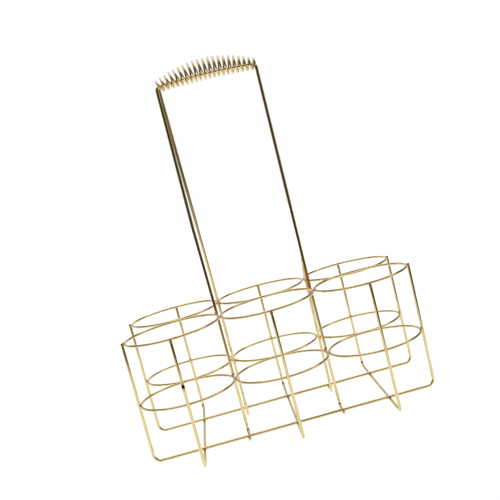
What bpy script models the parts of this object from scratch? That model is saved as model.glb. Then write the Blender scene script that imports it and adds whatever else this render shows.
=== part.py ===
# Wire drink can caddy for six standard cans: two tiers of rings, crossed U frames
# below and round them, and two handle loops that meet inside one coiled grip.
# Metres, +Z up. The origin is on the floor under the middle of the basket,
# +X runs along the row of three cans and -Y faces the viewer.

import bpy
import numpy as np
from math import ceil, cos, pi, sin, sqrt, tan

# Wire gauges
RING_WIRE = 0.0020
FRAME_WIRE = 0.0024
HANDLE_WIRE = 0.0024
GRIP_WIRE = 0.0014
WELD_GAP = 0.0003           # left between wires that are welded where they touch

# Can rings
CAN_DIAMETER = 0.0660
CAN_CLEARANCE = 0.0037      # ring bore over can diameter
CANS_PER_ROW = 3
LOWER_TIER_HEIGHT = 0.0486  # ring centrelines above the floor
UPPER_TIER_HEIGHT = 0.0987

# Frames
RAIL_OUTSET = 0.0020        # rails stand outside the line through their row's ring centres
RAIL_BEND_RADIUS = 0.0056   # at the wire's centreline, as are all bends here
CROSS_BEND_RADIUS = 0.0047
FRAME_RISE = 0.0011         # wire ends above the upper rings' centreline

# Handle
HANDLE_FOOT_BEND_RADIUS = 0.0040
HANDLE_FOOT_OVERHANG = 0.0014   # foot past the outside of the rail it is welded under
HANDLE_OFFSET = 0.0016          # front loop to the left, rear loop to the right
HANDLE_STRAIGHT_RISE = 0.0030   # above the upper rings before the legs lean in
HANDLE_LEAN_BEND_RADIUS = 0.0150
HANDLE_TOP_SPREAD = 0.0024      # each side of the bars stands this far outside its feet
HANDLE_TOP_OFFSET = 0.0000      # what is left of the offset at the bar
HANDLE_BAR_HEIGHT = 0.2773      # bar centreline above the floor at its ends
HANDLE_BAR_ARCH = 0.0014
HANDLE_TOP_BEND_RADIUS = 0.0032

# Grip
GRIP_TURNS = 20.6
GRIP_START_TURN = -0.05         # the wire starts behind the bars, just below their level
GRIP_LEFT_INSET = 0.0009        # from the left legs' centreline inwards
GRIP_RIGHT_OVERHANG = 0.0002    # from the right legs' centreline outwards
GRIP_SLACK = 0.0007             # the coil's ends round the bars
GRIP_MIDDLE_RADIUS = 0.0079     # coil centreline at the middle of the grip

# Facets
RING_POINTS = 44
BEND_STEPS = 5
BAR_POINTS = 9
GRIP_POINTS_PER_TURN = 10
WIRE_BEVEL_RESOLUTION = 2
GRIP_BEVEL_RESOLUTION = 1

GOLD = (0.83, 0.62, 0.33, 1.0)
GOLD_ROUGHNESS = 0.16


def wire_sides(bevel_resolution):
    return 2 * bevel_resolution + 4


def flat_to_centre(diameter):
    """Distance from a faceted wire's centreline to the middle of one of its facets."""
    return diameter / 2 * cos(pi / wire_sides(WIRE_BEVEL_RESOLUTION))


# Places worked out from the sizes
RING_RADIUS = (CAN_DIAMETER + CAN_CLEARANCE + RING_WIRE) / 2
RING_OUTSIDE = RING_RADIUS + RING_WIRE / 2
PITCH = 2 * RING_OUTSIDE + WELD_GAP
ROW_Y = PITCH / 2
COLUMN_X = [(i - (CANS_PER_ROW - 1) / 2) * PITCH for i in range(CANS_PER_ROW)]
RING_TO_FRAME = RING_OUTSIDE + WELD_GAP + FRAME_WIRE / 2
RAIL_Y = ROW_Y + RAIL_OUTSET
RAIL_X = COLUMN_X[-1] + sqrt(RING_TO_FRAME ** 2 - RAIL_OUTSET ** 2)
CROSS_Y = ROW_Y + RING_TO_FRAME
CROSS_FLOOR_Z = flat_to_centre(FRAME_WIRE)
RAIL_FLOOR_Z = CROSS_FLOOR_Z + FRAME_WIRE + WELD_GAP
FRAME_TOP_Z = UPPER_TIER_HEIGHT + FRAME_RISE

# A handle leg stands in the gap between four rings and bears on the nearest two.
HANDLE_X = PITCH / 2
HANDLE_TOP_X = HANDLE_X + HANDLE_TOP_SPREAD
RING_TO_HANDLE = RING_OUTSIDE + WELD_GAP + HANDLE_WIRE / 2
HANDLE_Y = ROW_Y - sqrt(RING_TO_HANDLE ** 2 - (PITCH / 2 - HANDLE_OFFSET) ** 2)
HANDLE_FOOT_Z = HANDLE_WIRE / 2
HANDLE_FOOT_Y = RAIL_Y + FRAME_WIRE / 2 + HANDLE_FOOT_OVERHANG
HANDLE_BAR_Y = (HANDLE_WIRE + WELD_GAP) / 2
GRIP_START_X = -HANDLE_TOP_X + GRIP_LEFT_INSET
GRIP_LENGTH = 2 * HANDLE_TOP_X - GRIP_LEFT_INSET + GRIP_RIGHT_OVERHANG
GRIP_END_RADIUS = HANDLE_BAR_Y + HANDLE_WIRE / 2 + GRIP_SLACK + GRIP_WIRE / 2


def clear_scene():
    for item in list(bpy.data.objects):
        bpy.data.objects.remove(item, do_unlink=True)


def gold_wire(name):
    material = bpy.data.materials.new(name)
    material.use_nodes = True
    shader = material.node_tree.nodes["Principled BSDF"]
    shader.inputs["Base Color"].default_value = GOLD
    shader.inputs["Metallic"].default_value = 1.0
    shader.inputs["Roughness"].default_value = GOLD_ROUGHNESS
    return material


def fillet(before, corner, after, radius):
    """Points of a bend of the given radius that replaces a sharp corner."""
    before, corner, after = (np.array(point, float) for point in (before, corner, after))
    entering = (before - corner) / np.linalg.norm(before - corner)
    leaving = (after - corner) / np.linalg.norm(after - corner)
    half_angle = np.arccos(np.clip(entering @ leaving, -1, 1)) / 2
    bisector = (entering + leaving) / np.linalg.norm(entering + leaving)
    centre = corner + bisector * radius / sin(half_angle)
    start = corner + entering * radius / tan(half_angle) - centre
    angles = np.linspace(0, pi - 2 * half_angle, BEND_STEPS + 1)
    return [centre + start * cos(a) - entering * radius * sin(a) for a in angles]


def bent_path(corners, radii):
    """A wire's centreline through the corners, with a bend at each inner one."""
    points = [np.array(corners[0], float)]
    for index, radius in enumerate(radii, start=1):
        points += fillet(points[-1], corners[index], corners[index + 1], radius)
    points.append(np.array(corners[-1], float))
    return points


def make_wire(name, points, diameter, material, closed=False,
              bevel_resolution=WIRE_BEVEL_RESOLUTION, facet_turn=0.0):
    curve = bpy.data.curves.new(name, "CURVE")
    curve.dimensions = "3D"
    curve.twist_mode = "MINIMUM"
    curve.bevel_depth = diameter / 2
    curve.bevel_resolution = bevel_resolution
    curve.use_fill_caps = not closed
    curve.render_resolution_u = 0
    spline = curve.splines.new("POLY")
    spline.points.add(len(points) - 1)
    for spline_point, point in zip(spline.points, points):
        spline_point.co = (*point, 1.0)
        spline_point.tilt = facet_turn
    spline.use_cyclic_u = closed
    spline.use_smooth = True
    curve.materials.append(material)
    wire = bpy.data.objects.new(name, curve)
    bpy.data.collections[COLLECTION_NAME].objects.link(wire)
    return wire


def make_ring(name, x, y, height, material):
    angles = np.linspace(0, 2 * pi, RING_POINTS, endpoint=False)
    points = [(RING_RADIUS * cos(a), RING_RADIUS * sin(a), 0.0) for a in angles]
    ring = make_wire(name, points, RING_WIRE, material, closed=True)
    ring.location = (x, y, height)


def make_rings(material):
    for tier, height in (("lower", LOWER_TIER_HEIGHT), ("upper", UPPER_TIER_HEIGHT)):
        for row, y in (("front", -ROW_Y), ("rear", ROW_Y)):
            for column, x in zip(column_names(), COLUMN_X):
                make_ring(f"ring_{tier}_{row}_{column}", x, y, height, material)


def column_names():
    """Names of the columns from left to right, plain words for the usual three."""
    if CANS_PER_ROW == 3:
        return ["left", "middle", "right"]
    return [f"column_{i + 1}" for i in range(CANS_PER_ROW)]


def make_rail_frame(name, y, material):
    """A long U in the plane of one row of cans, outside its two end rings."""
    corners = [(-RAIL_X, y, FRAME_TOP_Z), (-RAIL_X, y, RAIL_FLOOR_Z),
               (RAIL_X, y, RAIL_FLOOR_Z), (RAIL_X, y, FRAME_TOP_Z)]
    make_wire(name, bent_path(corners, [RAIL_BEND_RADIUS] * 2), FRAME_WIRE, material)


def make_cross_frame(name, x, material):
    """A U across both rows under one column; its floor run carries the rails."""
    corners = [(x, -CROSS_Y, FRAME_TOP_Z), (x, -CROSS_Y, CROSS_FLOOR_Z),
               (x, CROSS_Y, CROSS_FLOOR_Z), (x, CROSS_Y, FRAME_TOP_Z)]
    facet_turn = pi / wire_sides(WIRE_BEVEL_RESOLUTION)
    make_wire(name, bent_path(corners, [CROSS_BEND_RADIUS] * 2), FRAME_WIRE, material,
              facet_turn=facet_turn)


def bar_height(x):
    """Height of the bars' centrelines, which arch up a little in the middle."""
    return HANDLE_BAR_HEIGHT + HANDLE_BAR_ARCH * barrel_share(x)


def barrel_share(x):
    """From 0 at the ends of the bars to 1 in their middle."""
    return max(0.0, cos(pi / 2 * x / HANDLE_TOP_X))


def make_handle_loop(name, side, material):
    """One loop: foot under the rail, leg between the rings, leg leaning in, bar."""
    lean_start = UPPER_TIER_HEIGHT + HANDLE_STRAIGHT_RISE
    low_offset = side * HANDLE_OFFSET
    top_offset = side * HANDLE_TOP_OFFSET
    legs = []
    for hand in (-1, 1):
        leg_x = hand * HANDLE_X + low_offset
        corners = [(leg_x, side * HANDLE_FOOT_Y, HANDLE_FOOT_Z),
                   (leg_x, side * HANDLE_Y, HANDLE_FOOT_Z),
                   (leg_x, side * HANDLE_Y, lean_start),
                   (hand * HANDLE_TOP_X + top_offset, side * HANDLE_BAR_Y, HANDLE_BAR_HEIGHT),
                   (top_offset, side * HANDLE_BAR_Y, HANDLE_BAR_HEIGHT)]
        radii = [HANDLE_FOOT_BEND_RADIUS, HANDLE_LEAN_BEND_RADIUS, HANDLE_TOP_BEND_RADIUS]
        legs.append(bent_path(corners, radii)[:-1])
    bar_x = np.linspace(-HANDLE_TOP_X, HANDLE_TOP_X, BAR_POINTS + 2)[1:-1]
    bar = [(x + top_offset, side * HANDLE_BAR_Y, bar_height(x)) for x in bar_x]
    make_wire(name, legs[0] + bar + legs[1][::-1], HANDLE_WIRE, material)


def grip_radius(x):
    return GRIP_END_RADIUS + (GRIP_MIDDLE_RADIUS - GRIP_END_RADIUS) * barrel_share(x)


def grip_centre(x):
    """The coil's axis: its lowest wire stays level with the bars, so the axis arches."""
    return np.array([x, 0.0, bar_height(x) + grip_radius(x) - GRIP_END_RADIUS])


def grip_path():
    """One helix that climbs behind the bars and falls in front of them."""
    count = ceil(GRIP_TURNS * GRIP_POINTS_PER_TURN)
    step = 1e-4
    points = []
    for share in np.linspace(0, 1, count + 1):
        x = GRIP_START_X + GRIP_LENGTH * share
        along = grip_centre(x + step) - grip_centre(x - step)
        along /= np.linalg.norm(along)
        upward = np.array([-along[2], 0.0, along[0]])
        angle = 2 * pi * (GRIP_START_TURN + GRIP_TURNS * share)
        offset = np.array([0.0, cos(angle), 0.0]) + upward * sin(angle)
        points.append(grip_centre(x) + offset * grip_radius(x))
    return points


def least_self_gap(points, diameter):
    """Smallest clear distance between points at least half a turn apart."""
    points = np.array(points)
    apart = GRIP_POINTS_PER_TURN // 2
    distances = np.linalg.norm(points[:, None] - points[None, :], axis=2)
    index = np.arange(len(points))
    far = np.abs(index[:, None] - index[None, :]) >= apart
    return distances[far].min() - diameter


def make_grip_coil(material):
    points = grip_path()
    make_wire("grip_coil", points, GRIP_WIRE, material,
              bevel_resolution=GRIP_BEVEL_RESOLUTION)
    print(f"grip_coil least gap to itself {least_self_gap(points, GRIP_WIRE) * 1000:.2f} mm")


COLLECTION_NAME = "can_caddy"


def main():
    clear_scene()
    collection = bpy.data.collections.new(COLLECTION_NAME)
    bpy.context.scene.collection.children.link(collection)
    ring_gold = gold_wire("ring_wire")
    frame_gold = gold_wire("frame_wire")
    handle_gold = gold_wire("handle_wire")
    grip_gold = gold_wire("grip_wire")
    make_rings(ring_gold)
    for row, y in (("front", -RAIL_Y), ("rear", RAIL_Y)):
        make_rail_frame(f"rail_frame_{row}", y, frame_gold)
    for column, x in zip(column_names(), COLUMN_X):
        make_cross_frame(f"cross_frame_{column}", x, frame_gold)
    for row, side in (("front", -1), ("rear", 1)):
        make_handle_loop(f"handle_loop_{row}", side, handle_gold)
    make_grip_coil(grip_gold)


main()
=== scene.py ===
import bpy
import bmesh
from math import atan2, ceil, cos, exp, hypot, pi, radians, sin, sqrt, tan
from mathutils import Matrix, Vector, noise
from mathutils.kdtree import KDTree


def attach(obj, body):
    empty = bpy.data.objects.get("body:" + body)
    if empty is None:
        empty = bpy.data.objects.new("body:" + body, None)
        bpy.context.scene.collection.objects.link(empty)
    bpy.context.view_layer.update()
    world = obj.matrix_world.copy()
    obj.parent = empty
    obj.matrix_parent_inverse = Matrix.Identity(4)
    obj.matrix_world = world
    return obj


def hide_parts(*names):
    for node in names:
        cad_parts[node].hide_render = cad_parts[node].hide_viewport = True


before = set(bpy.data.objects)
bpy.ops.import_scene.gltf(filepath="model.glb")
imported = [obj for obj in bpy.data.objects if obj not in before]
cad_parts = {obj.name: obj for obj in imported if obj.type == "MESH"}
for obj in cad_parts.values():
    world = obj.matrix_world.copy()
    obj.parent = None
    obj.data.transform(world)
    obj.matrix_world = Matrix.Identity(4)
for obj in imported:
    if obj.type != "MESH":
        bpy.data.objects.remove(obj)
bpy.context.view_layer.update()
print("frame loaded:", len(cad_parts), "nodes")

mm = 0.001

pieceCollection = bpy.data.collections.new("canCaddy")
stageCollection = bpy.data.collections.new("studio")
for collection in (pieceCollection, stageCollection):
    bpy.context.scene.collection.children.link(collection)

# The basket's grid: three cans stand in front and three behind.
basket = {
    "pitch": 74.0 * mm,             # ring centre to ring centre, both ways
    "lowerTier": 48.6 * mm,         # ring centrelines above the floor
    "upperTier": 98.7 * mm,
    "railRise": 0.9 * mm,           # rails end this far above the upper rings' centreline
    "crossRise": -0.4 * mm,         # crosses end just under it
    "meltIn": 0.15 * mm,            # how far two welded wires sink into each other
}
columnX = {"left": -basket["pitch"], "middle": 0.0, "right": basket["pitch"]}
rowSide = {"front": -1, "rear": 1}
rowY = basket["pitch"] / 2
tierZ = {"upper": basket["upperTier"], "lower": basket["lowerTier"]}

# How far this hand-welded caddy strays from its plan, as read from the photograph
stray = {
    "upperFrontTilt": radians(0.75),      # the front row's upper rings climb to the right
    "upperRearDrop": -0.5 * mm,           # the rear row's sit low
    "lowerFrontShift": -0.6 * mm,         # the front row's lower rings stand to the left
    "railFrontFoot": Vector((-1.3, 0, -0.7)) * mm,  # its right corner, inwards and down
    "crossRearLift": {"left": 2.0 * mm, "middle": 2.0 * mm, "right": 1.0 * mm},  # off the floor
}


def ringMiddle(tier, row, x):
    middle = Vector((x, rowSide[row] * rowY, tierZ[tier]))
    if (tier, row) == ("upper", "front"):
        middle.z += x * tan(stray["upperFrontTilt"])
    if (tier, row) == ("upper", "rear"):
        middle.z += stray["upperRearDrop"]
    if (tier, row) == ("lower", "front"):
        middle.x += stray["lowerFrontShift"]
    return middle


# Materials

def linearColor(hexText):
    # The sRGB curve, undone
    channels = [int(hexText[i:i + 2], 16) / 255 for i in (1, 3, 5)]
    return [c / 12.92 if c <= 0.04045 else ((c + 0.055) / 1.055) ** 2.4 for c in channels] + [1.0]


def addNode(tree, kind, inputs=None, **settings):
    node = tree.nodes.new(kind)
    for name, value in settings.items():
        setattr(node, name, value)
    for name, value in (inputs or {}).items():
        if isinstance(value, bpy.types.NodeSocket):
            tree.links.new(value, node.inputs[name])
        else:
            node.inputs[name].default_value = value
    return node


# Brass electroplate, bright, on drawn mild steel wire. The plate is a mirror with a
# faint grain that the die leaves along the wire; round a weld it is duller and redder.
brassPlate = {
    "color": "#DFCE9E",
    "cloudColor": "#D4C08A",
    "heatColor": "#E0984A",
    "burntColor": "#201A14",
    "roughness": 0.08,
    "roughnessSpread": 0.05,
    "heatRoughness": 0.60,
    "burntFrom": 0.7,               # heat at which the straw tint turns to burnt brown
    "dieLine": 0.16 * mm,           # spacing round the wire, twice the real one so that it shows
    "dieLineLength": 14 * mm,
    "dieLineDepth": 0.0015 * mm,
    "dieLineDetail": 2.0,
    "dieLineRange": (0.3, 0.7),     # share of the noise that spreads the roughness
    "cloud": 22 * mm,               # size of the colour clouds in the plate
    "cloudDetail": 3.0,
}


def makeBrassPlate(name, look):
    material = bpy.data.materials.new(name)
    material.use_nodes = True
    tree = material.node_tree
    shader = tree.nodes["Principled BSDF"]
    shader.inputs["Metallic"].default_value = 1.0
    place = addNode(tree, "ShaderNodeTexCoord")
    heat = addNode(tree, "ShaderNodeAttribute", attribute_name="weldHeat")
    grain = addNode(tree, "ShaderNodeAttribute", attribute_name="wireGrain")
    cloud = addNode(tree, "ShaderNodeTexNoise", {
        "Vector": place.outputs["Object"], "Scale": 1 / look["cloud"],
        "Detail": look["cloudDetail"]})
    stretched = addNode(tree, "ShaderNodeVectorMath", {
        0: grain.outputs["Vector"],
        1: (1 / look["dieLine"], 1 / look["dieLine"], 1 / look["dieLineLength"])},
        operation="MULTIPLY")
    lines = addNode(tree, "ShaderNodeTexNoise", {
        "Vector": stretched.outputs["Vector"], "Scale": 1.0, "Detail": look["dieLineDetail"]})
    plate = addNode(tree, "ShaderNodeMix", {
        0: cloud.outputs["Fac"], 6: linearColor(look["color"]),
        7: linearColor(look["cloudColor"])}, data_type="RGBA")
    warmed = addNode(tree, "ShaderNodeMapRange", {
        "Value": heat.outputs["Fac"], "From Max": look["burntFrom"]})
    burnt = addNode(tree, "ShaderNodeMapRange", {
        "Value": heat.outputs["Fac"], "From Min": look["burntFrom"]})
    straw = addNode(tree, "ShaderNodeMix", {
        0: warmed.outputs["Result"], 6: plate.outputs[2],
        7: linearColor(look["heatColor"])}, data_type="RGBA")
    tinted = addNode(tree, "ShaderNodeMix", {
        0: burnt.outputs["Result"], 6: straw.outputs[2],
        7: linearColor(look["burntColor"])}, data_type="RGBA")
    sheen = addNode(tree, "ShaderNodeMapRange", {
        "Value": lines.outputs["Fac"],
        "From Min": look["dieLineRange"][0], "From Max": look["dieLineRange"][1],
        "To Min": look["roughness"] - look["roughnessSpread"] / 2,
        "To Max": look["roughness"] + look["roughnessSpread"] / 2})
    dulled = addNode(tree, "ShaderNodeMix", {
        0: heat.outputs["Fac"], 2: sheen.outputs["Result"],
        3: look["heatRoughness"]}, data_type="FLOAT")
    relief = addNode(tree, "ShaderNodeBump", {
        "Strength": 1.0, "Distance": look["dieLineDepth"], "Height": lines.outputs["Fac"]})
    tree.links.new(tinted.outputs[2], shader.inputs["Base Color"])
    tree.links.new(dulled.outputs[0], shader.inputs["Roughness"])
    tree.links.new(relief.outputs["Normal"], shader.inputs["Normal"])
    return material


plateOf = {slot: makeBrassPlate("brassPlate_" + slot, brassPlate)
           for slot in ("ring_wire", "frame_wire", "handle_wire", "grip_wire")}
print("materials made:", len(plateOf))


# Welds are gathered first, because each wire's finish changes near them.

weld = {
    "heatReach": 2.0 * mm,          # how far the plate is tinted along a wire
    "heatSources": 2,               # how many of the nearest welds can tint a spot
    "sideBySide": (2.3 * mm, 0.70 * mm, 0.70 * mm),  # half sizes: along, across and up
    "crossed": (1.10 * mm, 0.85 * mm, 1.10 * mm),
    "endAside": 0.9 * mm,           # from an end ring's middle line to its rail's nugget
    "roundness": 3,                 # subdivisions of a nugget
    "lumps": 0.12 * mm,             # height and spacing of the bumps on a nugget
    "lumpSize": 0.9 * mm,
    "ringBurn": 0.20,               # how burnt the plate is at each kind of weld, up to 1
    "floorBurn": 0.30,
    "legBurn": 0.60,
    "scorches": [                   # middle, reach and strength of the brown patches on the legs
        (Vector((36.4, -20.6, 106)) * mm, 12 * mm, 0.68),
        (Vector((38.4, 20.6, 106)) * mm, 10 * mm, 0.12),
        (Vector((-38.9, -21.0, 101)) * mm, 5 * mm, 0.40),
        (Vector((-36.4, 21.0, 101)) * mm, 5 * mm, 0.40),
    ],
    "spatter": Vector((-74.0, -75.85, 62.8)) * mm,  # a burnt bead stuck to the left cross
    "spatterSizes": (1.25 * mm, 0.50 * mm, 1.20 * mm),
    "spatterBurn": 1.5,             # over 1, it blackens the wire around it too
}
weldSpots = []                      # (place, direction of the long side, half sizes, burn)


def addWeld(place, along, halfSizes, burn):
    weldSpots.append((Vector(place), Vector(along).normalized(), halfSizes, burn))


def heatAt(point):
    heat = 0.0
    for _, number, distance in weldTree.find_n(point, weld["heatSources"]):
        heat = max(heat, weldSpots[number][3] * exp(-(distance / weld["heatReach"]) ** 2))
    for middle, reach, strength in weld["scorches"]:
        heat = max(heat, strength * exp(-((point - middle).length / reach) ** 2))
    return heat


# Wire shaping

drawing = {
    "bendStep": radians(5),         # of a bend, between two sections
    "longestStep": 2.5 * mm,        # of a straight run
    "endSegments": 3,
}


def roundedPath(corners, bendRadii):
    corners = [Vector(c) for c in corners]
    path = [corners[0]]
    for corner, following, bendRadius in zip(corners[1:], corners[2:], bendRadii):
        entering = (path[-1] - corner).normalized()
        leaving = (following - corner).normalized()
        halfAngle = entering.angle(leaving) / 2
        middle = corner + (entering + leaving).normalized() * bendRadius / sin(halfAngle)
        first = corner + entering * bendRadius / tan(halfAngle) - middle
        swept = pi - 2 * halfAngle
        steps = max(2, ceil(swept / drawing["bendStep"]))
        for i in range(steps + 1):
            turned = swept * i / steps
            path.append(middle + first * cos(turned) - entering * bendRadius * sin(turned))
    path.append(corners[-1])
    return path


def evenlyStepped(path):
    stepped = [path[0]]
    for here, there in zip(path, path[1:]):
        parts = ceil((there - here).length / drawing["longestStep"])
        stepped += [here.lerp(there, i / parts) for i in range(1, parts + 1)]
    return stepped


def newWireMesh():
    bm = bmesh.new()
    bm.verts.layers.float_vector.new("wireGrain")
    return bm


def addSection(bm, diameter, sides, place, heading):
    turn = Vector((0, 0, 1)).rotation_difference(heading).to_matrix().to_4x4()
    made = bmesh.ops.create_circle(bm, segments=sides, radius=diameter / 2,
                                   matrix=Matrix.Translation(place) @ turn)
    grain = bm.verts.layers.float_vector["wireGrain"]
    for vert in made["verts"]:
        flat = turn.inverted() @ (vert.co - place)
        vert[grain] = (flat.x, flat.y, 0.0)
    return bm.edges[:]


def drawWire(path, diameter, sides, endRounding):
    # The section is pulled along the path a step at a time and turned to face the next one.
    path = evenlyStepped(path)
    bm = newWireMesh()
    grain = bm.verts.layers.float_vector["wireGrain"]
    heading = (path[1] - path[0]).normalized()
    startEdges = edges = addSection(bm, diameter, sides, path[0], heading)
    drawn = 0.0
    for here, there, beyond in zip(path, path[1:], path[2:] + [None]):
        step = there - here
        drawn += step.length
        made = bmesh.ops.extrude_edge_only(bm, edges=edges)["geom"]
        verts = [g for g in made if isinstance(g, bmesh.types.BMVert)]
        edges = [g for g in made if isinstance(g, bmesh.types.BMEdge)
                 and g.verts[0] in verts and g.verts[1] in verts]
        nextHeading = heading
        if beyond is not None:
            nextHeading = (step.normalized() + (beyond - there).normalized()).normalized()
        bmesh.ops.translate(bm, vec=step, verts=verts)
        bmesh.ops.rotate(bm, cent=there, verts=verts,
                         matrix=heading.rotation_difference(nextHeading).to_matrix())
        heading = nextHeading
        for vert in verts:
            vert[grain].z = drawn
    for loop in (startEdges, edges):
        bmesh.ops.contextual_create(bm, geom=loop)
    bmesh.ops.bevel(bm, geom=startEdges + edges, offset=endRounding, offset_type="OFFSET",
                    segments=drawing["endSegments"], profile=0.5, affect="EDGES", material=-1)
    return bm


def finishPiece(name, bm, slot, replaced):
    bmesh.ops.recalc_face_normals(bm, faces=bm.faces[:])
    heatLayer = bm.verts.layers.float.new("weldHeat")
    for vert in bm.verts:
        vert[heatLayer] = heatAt(vert.co)
    for face in bm.faces:
        face.smooth = True
    mesh = bpy.data.meshes.new(name)
    bm.to_mesh(mesh)
    bm.free()
    mesh.materials.append(plateOf[slot])
    piece = bpy.data.objects.new(name, mesh)
    pieceCollection.objects.link(piece)
    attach(piece, "root")
    if replaced:
        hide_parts(replaced)


# Ring sizes are needed by every wire that touches a ring.

ring = {
    "wire": 2.0 * mm,
    "sides": 20,
    "steps": 132,                   # sections round a ring
    "seamMerge": 0.01 * mm,
}
ringRadius = (basket["pitch"] - ring["wire"] + basket["meltIn"]) / 2
ringOutside = ringRadius + ring["wire"] / 2

frameWire = {
    "wire": 2.4 * mm,
    "sides": 22,
    "railOutset": 2.0 * mm,         # rails stand outside their row's ring centres
    "railBend": 5.6 * mm,           # bend radii at the wire's centreline
    "crossBend": 4.8 * mm,
    "endRounding": 0.35 * mm,
}
ringToFrame = ringOutside + frameWire["wire"] / 2 - basket["meltIn"]
railY = rowY + frameWire["railOutset"]
railX = basket["pitch"] + sqrt(ringToFrame ** 2 - frameWire["railOutset"] ** 2)
crossY = rowY + ringToFrame
crossFloor = frameWire["wire"] / 2
railFloor = crossFloor + frameWire["wire"] - basket["meltIn"]

handle = {
    "wire": 2.4 * mm,
    "sides": 22,
    "footBend": 4.0 * mm,
    "footOverhang": 1.4 * mm,       # past the outside of the rail that it is welded under
    "footX": {"front": (-38.7 * mm, 36.2 * mm), "rear": (-36.4 * mm, 36.4 * mm)},  # left, right
    "legX": {"front": (-38.9 * mm, 36.1 * mm), "rear": (-36.4 * mm, 37.9 * mm)},  # upper rings
    "lowY": 23.3 * mm,              # from the middle to a leg, at the lower rings
    "highY": 21.3 * mm,             # and at the upper ones
    "straightRise": 3.0 * mm,       # above the upper rings before the legs lean further in
    "leanBend": 15.0 * mm,
    "bellyX": {"front": (-39.9 * mm, 36.9 * mm), "rear": (-37.3 * mm, 39.9 * mm)},
    "bellyZ": {"front": (165 * mm, 135 * mm), "rear": (205 * mm, 125 * mm)},
    "bellyBend": 60.0 * mm,         # the long legs aren't straight but bow to bellyX
    "topX": {"front": (-39.4 * mm, 39.4 * mm), "rear": (-37.9 * mm, 39.6 * mm)},
    "topBend": 3.2 * mm,
    "barHeight": 277.3 * mm,
    "barArch": 1.4 * mm,
    "barSteps": 24,
    "barEndMargin": 1.0 * mm,       # between a bend and the bar's first section
    "barFromMiddle": 0.05 * mm,     # half the gap between the two bars
    "endRounding": 0.35 * mm,
}
handleTopX = handle["topX"]["front"][1]
handleFootY = railY + frameWire["wire"] / 2 + handle["footOverhang"]
handleFootZ = handle["wire"] / 2
handleBarY = handle["wire"] / 2 + handle["barFromMiddle"]


def legPlace(row, hand, z):
    share = z / basket["upperTier"]
    footX, legX = handle["footX"][row][hand], handle["legX"][row][hand]
    leaning = max(0.0, (z - basket["lowerTier"]) / (basket["upperTier"] - basket["lowerTier"]))
    y = handle["lowY"] + (handle["highY"] - handle["lowY"]) * leaning
    return Vector((footX + (legX - footX) * share, rowSide[row] * y, z))


def planWelds():
    beside, crossed = weld["sideBySide"], weld["crossed"]
    touching = Vector((0, ringOutside, 0))
    reach = Vector((ringOutside, 0, 0))
    for tier in tierZ:
        for row, side in rowSide.items():
            for x in columnX.values():
                middle = ringMiddle(tier, row, x)
                addWeld(middle + touching * side, (1, 0, 0), crossed, weld["ringBurn"])
                if x < basket["pitch"] / 2:
                    addWeld(middle + reach, (0, 1, 0), beside, weld["ringBurn"])
                if row == "front":
                    addWeld(middle + touching, (1, 0, 0), beside, weld["ringBurn"])
                if x:
                    end = Vector((0, side * weld["endAside"], 0)) + reach * (1 if x > 0 else -1)
                    addWeld(middle + end, (0, 1, 0), crossed, weld["ringBurn"])
            for hand in (0, 1):
                spot = legPlace(row, hand, tierZ[tier])
                nearest = min((ringMiddle(tier, row, x) for x in columnX.values()),
                              key=lambda middle: (middle - spot).xy.length)
                towards = nearest - spot
                towards.z = 0
                towards.normalize()
                addWeld(spot + towards * handle["wire"] / 2, (-towards.y, towards.x, 0),
                        crossed, weld["legBurn"])
    addWeld(weld["spatter"], (1, 0, 0), weld["spatterSizes"], weld["spatterBurn"])
    for row, side in rowSide.items():
        for x in columnX.values():
            addWeld((x, side * railY, (crossFloor + railFloor) / 2), (1, 0, 0), crossed,
                    weld["floorBurn"])
        for hand in (0, 1):
            addWeld((handle["footX"][row][hand], side * railY, (handleFootZ + railFloor) / 2),
                    (1, 0, 0), crossed, weld["floorBurn"])


planWelds()
weldTree = KDTree(len(weldSpots))
for number, spot in enumerate(weldSpots):
    weldTree.insert(spot[0], number)
weldTree.balance()
print("welds planned:", len(weldSpots))


# Weld nuggets: squashed beads of melted wire, a little lumpy

def makeWelds():
    bm = newWireMesh()
    for place, along, halfSizes, _ in weldSpots:
        across = Vector((0, 0, 1)).cross(along)
        facing = Matrix((along, across, Vector((0, 0, 1)))).transposed().to_4x4()
        made = bmesh.ops.create_icosphere(
            bm, subdivisions=weld["roundness"], radius=1.0,
            matrix=Matrix.Translation(place) @ facing @ Matrix.Diagonal((*halfSizes, 1)))
        for vert in made["verts"]:
            outward = (vert.co - place).normalized()
            vert.co += outward * noise.noise(vert.co / weld["lumpSize"]) * weld["lumps"]
    finishPiece("weldNuggets", bm, "frame_wire", None)


makeWelds()
print("weld nuggets made")


# Can rings, each spun from one round section

def makeRing(name, replaced, middle, tilt):
    bm = newWireMesh()
    grain = bm.verts.layers.float_vector["wireGrain"]
    edges = addSection(bm, ring["wire"], ring["sides"], Vector((ringRadius, 0, 0)), Vector((0, 1, 0)))
    bmesh.ops.spin(bm, geom=edges, cent=(0, 0, 0), axis=(0, 0, 1), angle=2 * pi,
                   steps=ring["steps"], use_merge=True, use_duplicate=False)
    bmesh.ops.remove_doubles(bm, verts=bm.verts[:], dist=ring["seamMerge"])
    for vert in bm.verts:
        turned = atan2(vert.co.y, vert.co.x)
        vert[grain] = (hypot(vert.co.x, vert.co.y) - ringRadius, vert.co.z, turned * ringRadius)
    bmesh.ops.rotate(bm, cent=(0, 0, 0), matrix=Matrix.Rotation(-tilt, 3, "Y"), verts=bm.verts[:])
    bmesh.ops.translate(bm, vec=middle, verts=bm.verts[:])
    finishPiece(name, bm, "ring_wire", replaced)


for tier in tierZ:
    for row in rowSide:
        tilt = stray["upperFrontTilt"] if (tier, row) == ("upper", "front") else 0.0
        for column, x in columnX.items():
            makeRing(f"canRing_{tier}_{row}_{column}", f"ring_{tier}_{row}_{column}",
                     ringMiddle(tier, row, x), tilt)
print("can rings made:", len(tierZ) * len(rowSide) * len(columnX))


# Basket frames: long rails under each row and crosses under each column

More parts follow.
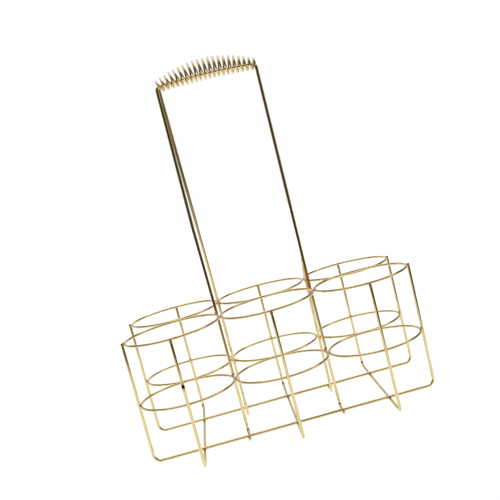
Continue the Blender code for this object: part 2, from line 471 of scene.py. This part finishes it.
for row, side in rowSide.items():
    y = side * railY
    tops = [ringMiddle("upper", row, hand * railX).z + basket["railRise"] for hand in (-1, 1)]
    rightFoot = Vector((railX, y, railFloor))
    if row == "front":
        rightFoot += stray["railFrontFoot"]
    path = roundedPath([(-railX, y, tops[0]), (-railX, y, railFloor), rightFoot,
                        (railX, y, tops[1])], [frameWire["railBend"]] * 2)
    bm = drawWire(path, frameWire["wire"], frameWire["sides"], frameWire["endRounding"])
    finishPiece(f"railFrame_{row}", bm, "frame_wire", f"rail_frame_{row}")
for column, x in columnX.items():
    tops = [ringMiddle("upper", row, x).z + basket["crossRise"] for row in rowSide]
    rearFoot = crossFloor + stray["crossRearLift"][column]
    path = roundedPath([(x, -crossY, tops[0]), (x, -crossY, crossFloor), (x, railY, crossFloor),
                        (x, crossY, rearFoot), (x, crossY, tops[1])],
                       [frameWire["crossBend"]] * 3)
    bm = drawWire(path, frameWire["wire"], frameWire["sides"], frameWire["endRounding"])
    finishPiece(f"crossFrame_{column}", bm, "frame_wire", f"cross_frame_{column}")
print("basket frames made")


# Handle: two loops that meet at the top and stand apart at their feet

def barrelShare(x):
    return max(0.0, cos(pi / 2 * x / handleTopX))


def barZ(x):
    return handle["barHeight"] + handle["barArch"] * barrelShare(x)


def makeHandleLoop(name, replaced, row):
    legs = []
    side = rowSide[row]
    for hand in (0, 1):
        low = legPlace(row, hand, basket["lowerTier"])
        high = legPlace(row, hand, basket["upperTier"] + handle["straightRise"])
        top = Vector((handle["topX"][row][hand], side * handleBarY, handle["barHeight"]))
        bellyZ = handle["bellyZ"][row][hand]
        belly = high.lerp(top, (bellyZ - high.z) / (top.z - high.z))
        belly.x = handle["bellyX"][row][hand]
        footX = handle["footX"][row][hand]
        corners = [(footX, side * handleFootY, handleFootZ), (footX, low.y, handleFootZ),
                   low, high, belly, top, (0.0, side * handleBarY, handle["barHeight"])]
        bends = [handle["footBend"], handle["leanBend"], handle["leanBend"],
                 handle["bellyBend"], handle["topBend"]]
        legs.append(roundedPath(corners, bends)[:-1])
    steps = handle["barSteps"]
    bar = []
    firstX = legs[0][-1].x + handle["barEndMargin"]
    lastX = legs[1][-1].x - handle["barEndMargin"]
    for i in range(1, steps):
        x = handleTopX * (2 * i / steps - 1)
        if firstX < x < lastX:
            bar.append(Vector((x, side * handleBarY, barZ(x))))
    path = legs[0] + bar + legs[1][::-1]
    bm = drawWire(path, handle["wire"], handle["sides"], handle["endRounding"])
    finishPiece(name, bm, "handle_wire", replaced)


for row in rowSide:
    makeHandleLoop(f"handleLoop_{row}", f"handle_loop_{row}", row)
print("handle loops made")


# Grip: one coil wound round both bars, narrow at its ends and fat in the middle

grip = {
    "wire": 1.4 * mm,
    "sides": 14,
    "turns": 20.6,
    "startTurn": -0.05,             # behind the bars, just below their level
    "leftInset": 0.9 * mm,          # from the left legs' centreline inwards
    "rightOverhang": 0.2 * mm,
    "endRadius": 3.98 * mm,         # coil centreline at its ends and its middle
    "middleRadius": 7.9 * mm,
    "sway": 1.05,                   # how unevenly a turn moves along the bars
    "fastTurn": 0.66,               # the sway is fastest here, in front and below the middle
    "flankSpeed": 0.5,              # a turn also moves faster in front and behind than at its top
    "stepsPerTurn": 40,
    "slopeReach": 0.1 * mm,         # over which the axis's slope is measured
    "endRounding": 0.25 * mm,
}


def gripRadius(x):
    return grip["endRadius"] + (grip["middleRadius"] - grip["endRadius"]) * barrelShare(x)


def gripAxis(x):
    return Vector((x, 0, barZ(x) + gripRadius(x) - grip["endRadius"]))


def gripPath():
    startX = grip["leftInset"] - handleTopX
    length = handleTopX + grip["rightOverhang"] - startX
    count = ceil(grip["turns"] * grip["stepsPerTurn"])
    nudge = grip["slopeReach"]
    path = []
    for i in range(count + 1):
        turnAngle = 2 * pi * (grip["startTurn"] + grip["turns"] * i / count)
        swayed = grip["sway"] * sin(turnAngle - 2 * pi * grip["fastTurn"])
        swayed += grip["flankSpeed"] * sin(2 * turnAngle) / 2
        x = startX + length * (i / count + swayed / (2 * pi * grip["turns"]))
        along = (gripAxis(x + nudge) - gripAxis(x - nudge)).normalized()
        upward = Vector((-along.z, 0, along.x))
        outward = Vector((0, 1, 0)) * cos(turnAngle) + upward * sin(turnAngle)
        path.append(gripAxis(x) + outward * gripRadius(x))
    return path


finishPiece("gripCoil", drawWire(gripPath(), grip["wire"], grip["sides"], grip["endRounding"]),
            "grip_wire", "grip_coil")
print("grip coil made")


# Camera: the photograph's view, a hand-held one that leans to one side

photoView = {
    "place": Vector((-23.05, -680.56, 205.90)) * mm,
    "yaw": 0.0940,                  # to the right of +Y, in radians
    "pitch": -0.1296,
    "roll": -0.2468,
    "focal": 859.31,                # in the photograph's pixels
    "axisPixel": (306.92, 261.08),  # where the lens axis meets the photograph
    "photoSize": 500,
    "sensor": 36.0,                 # mm across, any size gives the same view
    "clip": (0.01, 50),             # metres
}


def placeCamera(view):
    yaw, pitch, roll = view["yaw"], view["pitch"], view["roll"]
    ahead = Vector((sin(yaw) * cos(pitch), cos(yaw) * cos(pitch), sin(pitch)))
    level = Vector((cos(yaw), -sin(yaw), 0))
    upright = level.cross(ahead)
    right = level * cos(roll) + upright * sin(roll)
    up = upright * cos(roll) - level * sin(roll)
    data = bpy.data.cameras.new("photoCamera")
    data.sensor_width = view["sensor"]
    data.lens = view["focal"] / view["photoSize"] * data.sensor_width
    data.shift_x = 0.5 - (view["axisPixel"][0] + 0.5) / view["photoSize"]
    data.shift_y = (view["axisPixel"][1] + 0.5) / view["photoSize"] - 0.5
    data.clip_start, data.clip_end = view["clip"]
    camera = bpy.data.objects.new("photoCamera", data)
    camera.matrix_world = Matrix.Translation(view["place"]) @ Matrix(
        (right, up, -ahead)).transposed().to_4x4()
    stageCollection.objects.link(camera)
    bpy.context.scene.camera = camera


placeCamera(photoView)
print("camera placed")


# Studio: a lit white table that ends in front of the camera, a black card behind the
# camera, and a room that is white above and dark towards the camera. The plate mirrors
# the card and the dark of the room as its dark lines.

studio = {
    "tableSize": 3000 * mm,
    "tableCorner": Vector((-90, -525, -0.05)) * mm,  # it points at the camera
    "rightEdgeTurn": radians(43),   # how far back each edge runs from it
    "leftEdgeTurn": radians(30),
    "tableColor": "#A8A8A8",        # half-clear sheet, lit from below so that no shadow shows
    "tableRoughness": 0.7,
    "tableGlow": 0.86,
    "edgeGlow": 0.42,               # it is dimmer along its edges
    "edgeFade": 120 * mm,
    "cardMiddle": Vector((-50, -720, 495)) * mm,  # a black card hangs behind the camera
    "cardWidth": 1500 * mm,
    "cardHeight": 750 * mm,
    "cardLight": 0.05,
    "skyLight": 1.34,
    "backdropLight": 1.0,           # what the camera sees behind the caddy
    "warmth": "#FFE8C8",            # tint of the room where it is dark
    "roomParts": [                  # degrees round from the camera to the right, and above level
        {"part": "wall behind", "azimuth": 180, "halfWidth": 103, "top": 42, "soft": 10, "light": 0.70},
        {"part": "grey ceiling", "azimuth": 0, "halfWidth": 77, "top": 52, "soft": 6, "light": 0.55},
        {"part": "dark side", "azimuth": -6, "halfWidth": 70, "top": 39, "soft": 5, "light": 0.05},
        {"part": "boom", "azimuth": 9, "halfWidth": 6, "top": 80, "soft": 2, "light": 0.02},
        {"part": "doorway", "azimuth": 28, "halfWidth": 20, "top": 58, "soft": 4, "light": 0.05},
        {"part": "left curtain", "azimuth": -104, "halfWidth": 20, "top": 54, "soft": 4, "light": 0.03},
        {"part": "right curtain", "azimuth": 120, "halfWidth": 28, "top": 44, "soft": 5, "light": 0.06},
        {"part": "far floor", "azimuth": 0, "halfWidth": 190, "top": -1, "soft": 1, "light": 0.34},
        {"part": "mat", "azimuth": 0, "halfWidth": 190, "top": -9.5, "soft": 0.7, "light": 0.05},
        {"part": "near floor", "azimuth": 0, "halfWidth": 190, "top": -13.5, "soft": 1, "light": 0.6},
    ],
}


def makeTable(look):
    corner = look["tableCorner"]
    right, left = look["rightEdgeTurn"], look["leftEdgeTurn"]
    rightEdge = Vector((cos(right), sin(right), 0)) * look["tableSize"]
    leftEdge = Vector((-cos(left), sin(left), 0)) * look["tableSize"]
    sheet = Matrix((rightEdge, leftEdge, Vector((0, 0, 1)))).transposed().to_4x4()
    bm = bmesh.new()                # a sheet 1 m square is stretched along both edges
    bmesh.ops.create_grid(bm, x_segments=1, y_segments=1, size=0.5, matrix=sheet)
    bmesh.ops.translate(bm, vec=corner + (rightEdge + leftEdge) / 2, verts=bm.verts[:])
    mesh = bpy.data.meshes.new("table")
    bm.to_mesh(mesh)
    bm.free()
    table = bpy.data.objects.new("table", mesh)
    stageCollection.objects.link(table)
    material = bpy.data.materials.new("litAcrylicTable")
    material.use_nodes = True
    tree = material.node_tree
    shader = tree.nodes["Principled BSDF"]
    shader.inputs["Base Color"].default_value = linearColor(look["tableColor"])
    shader.inputs["Roughness"].default_value = look["tableRoughness"]
    shader.inputs["Emission Color"].default_value = (1, 1, 1, 1)
    place = addNode(tree, "ShaderNodeTexCoord")
    fromCorner = addNode(tree, "ShaderNodeVectorMath", {
        0: place.outputs["Object"], 1: corner}, operation="SUBTRACT")
    inside = [addNode(tree, "ShaderNodeVectorMath", {0: fromCorner.outputs["Vector"], 1: inward},
                      operation="DOT_PRODUCT")
              for inward in ((-sin(right), cos(right), 0), (sin(left), cos(left), 0))]
    margin = addNode(tree, "ShaderNodeMath", {
        0: inside[0].outputs["Value"], 1: inside[1].outputs["Value"]}, operation="MINIMUM")
    glow = addNode(tree, "ShaderNodeMapRange", {
        "Value": margin.outputs["Value"], "From Max": look["edgeFade"],
        "To Min": look["edgeGlow"], "To Max": look["tableGlow"]})
    tree.links.new(glow.outputs["Result"], shader.inputs["Emission Strength"])
    mesh.materials.append(material)


def makeCard(look):
    turn = Matrix.Rotation(radians(90), 4, "X")
    shape = Matrix.Diagonal((look["cardWidth"], look["cardHeight"], 1, 1))
    bm = bmesh.new()
    bmesh.ops.create_grid(bm, x_segments=1, y_segments=1, size=0.5,
                          matrix=Matrix.Translation(look["cardMiddle"]) @ turn @ shape)
    mesh = bpy.data.meshes.new("blackCard")
    bm.to_mesh(mesh)
    bm.free()
    card = bpy.data.objects.new("blackCard", mesh)
    card.visible_camera = False     # only the plate sees it
    stageCollection.objects.link(card)
    material = bpy.data.materials.new("blackPaper")
    material.use_nodes = True
    shader = material.node_tree.nodes["Principled BSDF"]
    shader.inputs["Base Color"].default_value = (0, 0, 0, 1)
    shader.inputs["Specular IOR Level"].default_value = 0
    shader.inputs["Emission Color"].default_value = linearColor(look["warmth"])
    shader.inputs["Emission Strength"].default_value = look["cardLight"]
    mesh.materials.append(material)


def addRoomPart(tree, light, azimuth, elevation, part):
    turned = addNode(tree, "ShaderNodeMath", {
        0: azimuth, 1: part["azimuth"]}, operation="SUBTRACT")
    wrapped = addNode(tree, "ShaderNodeMath", {
        0: turned.outputs["Value"], 1: 180.0, 2: -180.0}, operation="WRAP")
    aside = addNode(tree, "ShaderNodeMath", {0: wrapped.outputs["Value"]}, operation="ABSOLUTE")
    inside = addNode(tree, "ShaderNodeMapRange", {
        "Value": aside.outputs["Value"], "From Min": part["halfWidth"] + part["soft"],
        "From Max": part["halfWidth"] - part["soft"]}, interpolation_type="SMOOTHSTEP")
    below = addNode(tree, "ShaderNodeMapRange", {
        "Value": elevation, "From Min": part["top"] + part["soft"],
        "From Max": part["top"] - part["soft"]}, interpolation_type="SMOOTHSTEP")
    share = addNode(tree, "ShaderNodeMath", {
        0: inside.outputs["Result"], 1: below.outputs["Result"]}, operation="MULTIPLY")
    joined = addNode(tree, "ShaderNodeMix", {
        0: share.outputs["Value"], 2: light, 3: part["light"]},
        data_type="FLOAT", label=part["part"])
    return joined.outputs[0]


def makeRoom(look):
    world = bpy.data.worlds.new("studioRoom")
    bpy.context.scene.world = world
    world.use_nodes = True
    tree = world.node_tree
    tree.nodes.clear()
    place = addNode(tree, "ShaderNodeTexCoord")
    parts = addNode(tree, "ShaderNodeSeparateXYZ", {"Vector": place.outputs["Generated"]})
    forward = addNode(tree, "ShaderNodeMath", {0: parts.outputs["Y"], 1: -1.0}, operation="MULTIPLY")
    around = addNode(tree, "ShaderNodeMath", {
        0: parts.outputs["X"], 1: forward.outputs["Value"]}, operation="ARCTAN2")
    azimuth = addNode(tree, "ShaderNodeMath", {0: around.outputs["Value"]}, operation="DEGREES")
    rising = addNode(tree, "ShaderNodeMath", {0: parts.outputs["Z"]}, operation="ARCSINE")
    elevation = addNode(tree, "ShaderNodeMath", {0: rising.outputs["Value"]}, operation="DEGREES")
    light = look["skyLight"]
    for part in look["roomParts"]:
        light = addRoomPart(tree, light, azimuth.outputs["Value"], elevation.outputs["Value"], part)
    tint = addNode(tree, "ShaderNodeMix", {
        0: light, 6: linearColor(look["warmth"]), 7: (1, 1, 1, 1)}, data_type="RGBA")
    room = addNode(tree, "ShaderNodeBackground", {
        "Color": tint.outputs[2], "Strength": light})
    backdrop = addNode(tree, "ShaderNodeBackground", {
        "Color": (1, 1, 1, 1), "Strength": look["backdropLight"]})
    ray = addNode(tree, "ShaderNodeLightPath")
    shown = addNode(tree, "ShaderNodeMixShader", {
        0: ray.outputs["Is Camera Ray"], 1: room.outputs["Background"],
        2: backdrop.outputs["Background"]})
    addNode(tree, "ShaderNodeOutputWorld", {"Surface": shown.outputs["Shader"]})


makeTable(studio)
makeCard(studio)
makeRoom(studio)
bpy.context.scene.view_settings.view_transform = "Standard"
print("studio made")
